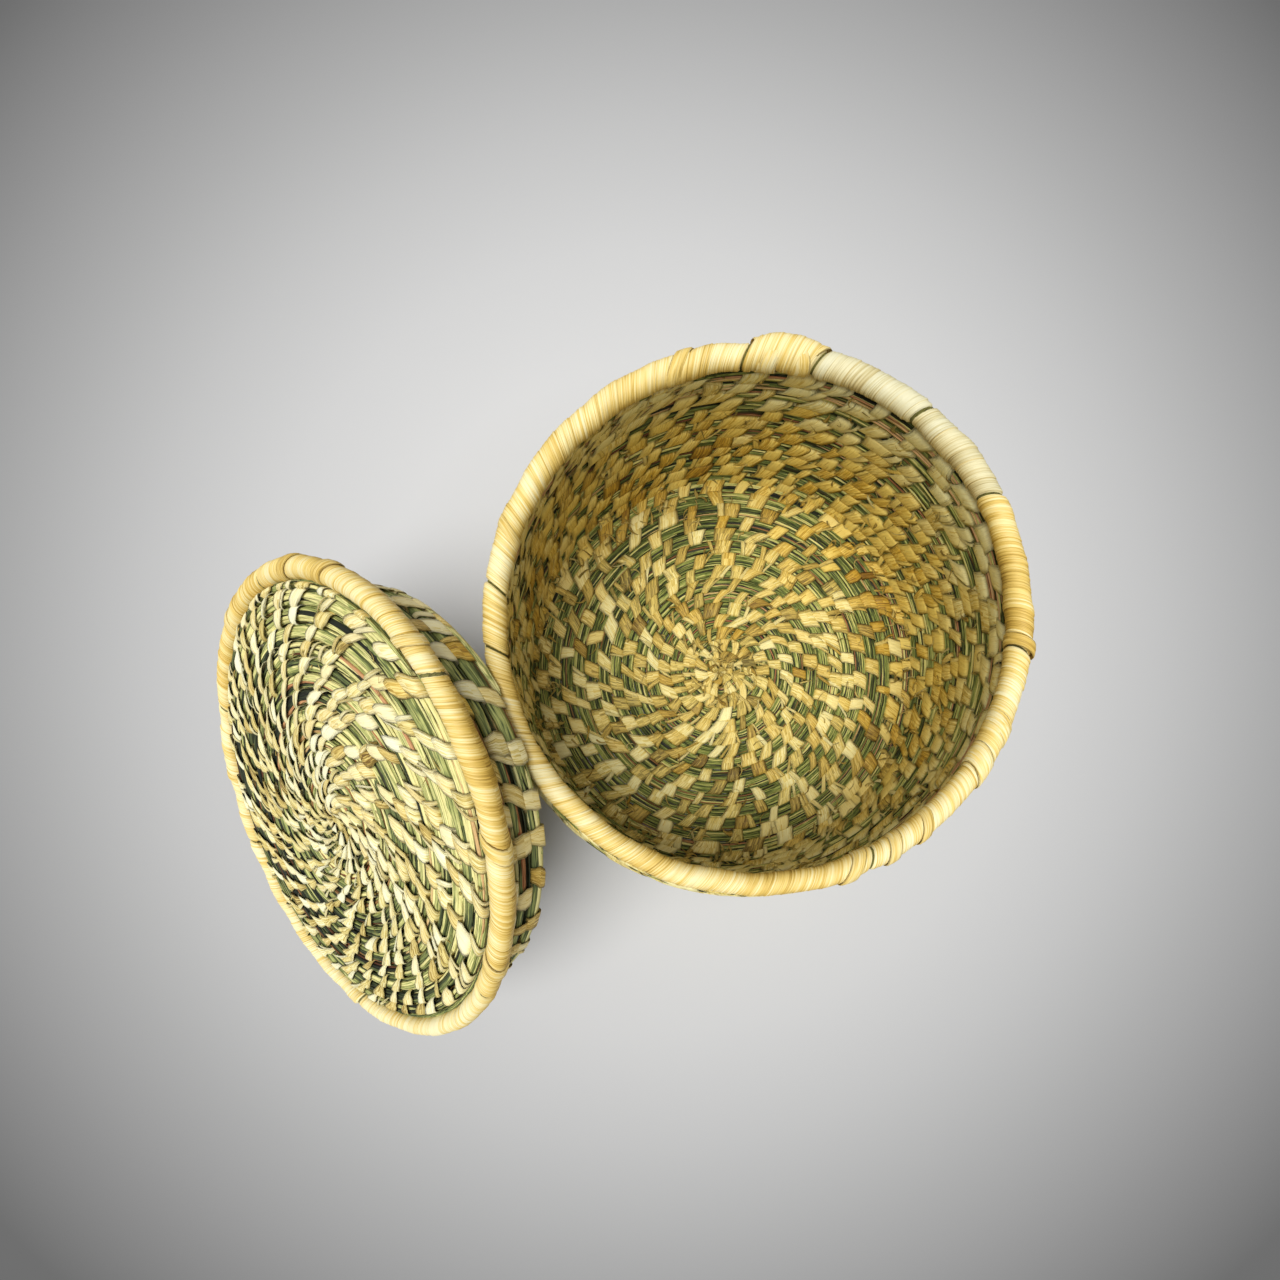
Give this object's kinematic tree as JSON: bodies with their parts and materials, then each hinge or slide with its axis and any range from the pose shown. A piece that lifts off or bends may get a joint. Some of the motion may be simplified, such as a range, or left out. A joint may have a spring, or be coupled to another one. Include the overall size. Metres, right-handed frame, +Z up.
{
  "type": "lidded coiled basket",
  "caption": "Round coiled grass basket for flat bread with bellied wall and wrapped rim; its loose disc lid with a locating collar leans on the rim.",
  "frame": {"origin": "middle of the basket's flat underside, on the surface it stands on", "axes": "+Z up along the basket's axis; +X from the leaning lid towards the basket, so the lid lies on the -X side; +Y completes the right-handed set"},
  "size_m": [0.4665, 0.2744, 0.166],
  "materials": {
    "stem_green": "dry, fibrous",
    "stem_lid_green": "dry, fibrous",
    "stem_brown": "dry, fibrous",
    "straw": "dry, slight sheen",
    "raffia": "satin, fine grain",
    "raffia_gold": "satin, fine grain"
  },
  "bodies": {
    "basket": {"basket_start_knot": "straw", "basket_floor_coil": "stem_green", "basket_wall_coil": "stem_green", "basket_rim_bundle": "stem_brown", "basket_rim_wrap_1": "raffia", "basket_rim_wrap_2": "raffia", "basket_rim_wrap_3": "raffia", "basket_rim_wrap_4": "raffia", "basket_rim_wrap_5": "raffia", "basket_rim_wrap_6": "raffia", "basket_rim_wrap_7": "raffia", "basket_rim_splice": "raffia_gold"},
    "lid": {"lid_start_knot": "straw", "lid_disc_coil": "stem_lid_green", "lid_collar_coil": "stem_lid_green", "lid_rim_bundle": "stem_brown", "lid_rim_wrap_1": "raffia", "lid_rim_wrap_2": "raffia", "lid_rim_wrap_3": "raffia", "lid_rim_wrap_4": "raffia", "lid_rim_wrap_5": "raffia", "lid_rim_wrap_6": "raffia"}
  },
  "joints": [
    {"name": "lid_lift", "type": "slide", "parent": "basket", "child": "lid", "axis": [0, 0, 1], "range_m": [0, 0.25]}
  ]
}
